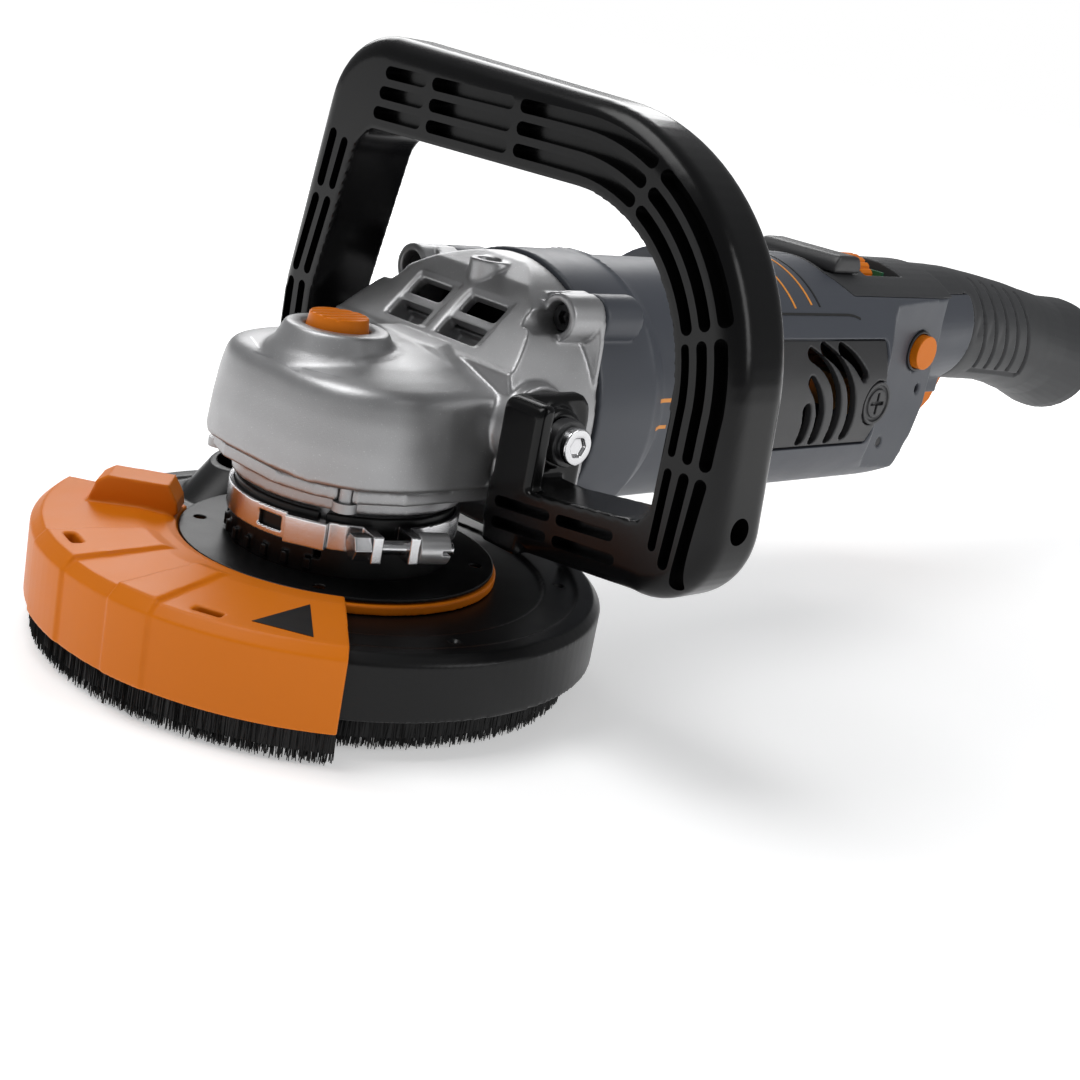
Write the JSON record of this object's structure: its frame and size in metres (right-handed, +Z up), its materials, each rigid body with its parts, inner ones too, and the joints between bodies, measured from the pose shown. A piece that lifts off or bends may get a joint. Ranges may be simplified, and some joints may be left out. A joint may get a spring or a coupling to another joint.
{
  "type": "concrete grinder",
  "caption": "Hand-held electric concrete grinder with diamond cup wheel, brush-edged dust shroud, opening edge gate and D-shaped front handle.",
  "frame": {"origin": "on the spindle axis at the plane of the brush tips", "axes": "+X from the spindle towards the rear grip, +Z up along the spindle, -Y is the left side with the lock-on button"},
  "size_m": [0.7338, 0.263, 0.175],
  "materials": {
    "cast_aluminium": "fine shot-blasted casting",
    "zinc_nut": "satin",
    "bright_steel": "ground and zinc plated",
    "lamination_steel": "stacked sheet",
    "copper_wire": "varnished copper",
    "brass": "satin",
    "slate_plastic": "satin moulded",
    "dark_plastic": "satin moulded",
    "black_plastic": "semi gloss moulded",
    "shroud_plastic": "fine texture",
    "orange_plastic": "satin moulded",
    "black_rubber": "fine matt",
    "black_bristle": "nylon bristle",
    "black_screws": "black oxide",
    "wheel_paint": "black semi gloss",
    "diamond_segment": "sintered, scratched",
    "carbon": "graphite",
    "circuit_board": "lacquered board"
  },
  "bodies": {
    "tool": {"gear_housing": "cast_aluminium", "gearbox_cover": "cast_aluminium", "cover_screws": "bright_steel", "spindle_bearing": "bright_steel", "needle_bearing": "bright_steel", "lock_spring": "bright_steel", "front_bearing": "bright_steel", "rear_bearing": "bright_steel", "stator": "lamination_steel", "field_coils": "copper_wire", "motor_housing": "slate_plastic", "flange_screws": "black_screws", "rear_housing_left": "slate_plastic", "rear_housing_right": "slate_plastic", "vent_panel_left": "dark_plastic", "vent_panel_right": "dark_plastic", "brush_holders": "brass", "carbon_brushes": "carbon", "brush_caps": "dark_plastic", "stand_foot": "black_rubber", "control_board": "circuit_board", "switch_body": "dark_plastic", "lock_on_ring": "dark_plastic", "grip_overmould": "black_rubber", "housing_screws": "bright_steel", "handle_bolts": "bright_steel", "handle_spacers": "dark_plastic", "cord_sleeve": "black_rubber", "cord": "black_rubber", "cord_coil": "black_rubber", "plug": "black_plastic"},
    "grinding_head": {"spindle": "bright_steel", "crown_gear": "bright_steel", "inner_flange": "bright_steel", "cup_wheel": "wheel_paint", "segments_outer": "diamond_segment", "segments_inner": "diamond_segment", "lock_nut": "black_screws"},
    "armature": {"pinion": "bright_steel", "armature_shaft": "bright_steel", "armature_core": "lamination_steel", "armature_windings": "copper_wire", "commutator": "copper_wire", "cooling_fan": "dark_plastic"},
    "spindle_lock": {"lock_button": "orange_plastic"},
    "trigger": {"trigger": "orange_plastic"},
    "lock_on": {"lock_on_button": "orange_plastic"},
    "dial": {"speed_dial": "orange_plastic"},
    "shroud": {"shroud_cover": "shroud_plastic", "shroud_neck": "shroud_plastic", "shroud_disc": "shroud_plastic", "shroud_brush": "black_bristle", "gate_stop": "shroud_plastic", "dust_port": "shroud_plastic", "clamp_band": "bright_steel", "clamp_bolt": "bright_steel", "clamp_nut": "zinc_nut"},
    "gate": {"edge_gate": "orange_plastic", "gate_brush": "black_bristle"},
    "handle": {"d_handle": "black_plastic"}
  },
  "joints": [
    {"name": "spindle_spin", "type": "hinge", "parent": "tool", "child": "grinding_head", "pos_m": [0, 0, 0.04], "axis": [0, 0, 1], "continuous": true},
    {"name": "armature_spin", "type": "hinge", "parent": "tool", "child": "armature", "pos_m": [0.12, 0, 0.08], "axis": [1, 0, 0], "continuous": true},
    {"name": "spindle_lock_press", "type": "slide", "parent": "tool", "child": "spindle_lock", "axis": [0, 0, -1], "range_m": [0, 0.0035], "stiffness_N_per_m": 900, "springref_m": -0.003, "deforming": ["lock_spring"]},
    {"name": "trigger_pull", "type": "hinge", "parent": "tool", "child": "trigger", "pos_m": [0.298, 0, 0.083], "axis": [0, 1, 0], "range_deg": [0, 7], "stiffness_Nm_per_rad": 1, "springref_deg": -6.88},
    {"name": "lock_on_press", "type": "slide", "parent": "tool", "child": "lock_on", "axis": [0, 1, 0], "range_m": [0, 0.0025], "stiffness_N_per_m": 500, "springref_m": -0.002},
    {"name": "speed_dial_turn", "type": "hinge", "parent": "tool", "child": "dial", "pos_m": [0.2245, 0, 0.1135], "axis": [1, 0, 0], "range_deg": [-135, 135]},
    {"name": "shroud_swivel", "type": "hinge", "parent": "tool", "child": "shroud", "pos_m": [0, 0, 0.04], "axis": [0, 0, 1], "range_deg": [0, 20]},
    {"name": "gate_turn", "type": "hinge", "parent": "shroud", "child": "gate", "pos_m": [0, 0, 0.028], "axis": [0, 0, 1], "range_deg": [0, 100]},
    {"name": "handle_tilt", "type": "hinge", "parent": "tool", "child": "handle", "pos_m": [0.0276, 0, 0.0784], "axis": [0, 1, 0], "range_deg": [-15, 15]}
  ],
  "couplings": [
    {"joint": "armature_spin", "follows": "spindle_spin", "ratio": 3.3636}
  ]
}
